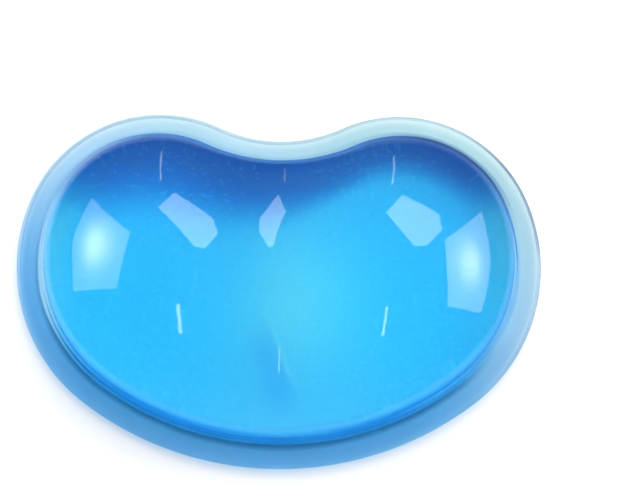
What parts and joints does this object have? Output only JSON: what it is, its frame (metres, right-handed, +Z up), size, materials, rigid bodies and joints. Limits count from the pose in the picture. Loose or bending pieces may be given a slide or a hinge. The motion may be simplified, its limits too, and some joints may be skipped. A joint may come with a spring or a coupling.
{
  "type": "gel wrist rest",
  "caption": "Small kidney-shaped gel wrist rest: a translucent blue two-lobed dome with a clear welded rim, on a clear non-slip base.",
  "frame": {"origin": "on the desk, under the middle of the overall footprint", "axes": "+X along the width, +Y from the convex front edge towards the notched back edge, +Z up"},
  "size_m": [0.1092, 0.0742, 0.02],
  "materials": {
    "clear_film": "glossy, clear, flexible film",
    "blue_gel": "glossy, translucent blue gel",
    "clear_sheet": "glossy, clear sheet",
    "tacky_pad": "tacky, satin, clear elastomer"
  },
  "bodies": {
    "root": {"top_skin": "clear_film", "gel_core": "blue_gel", "base_sheet": "clear_sheet", "grip_pad": "tacky_pad"}
  },
  "joints": []
}
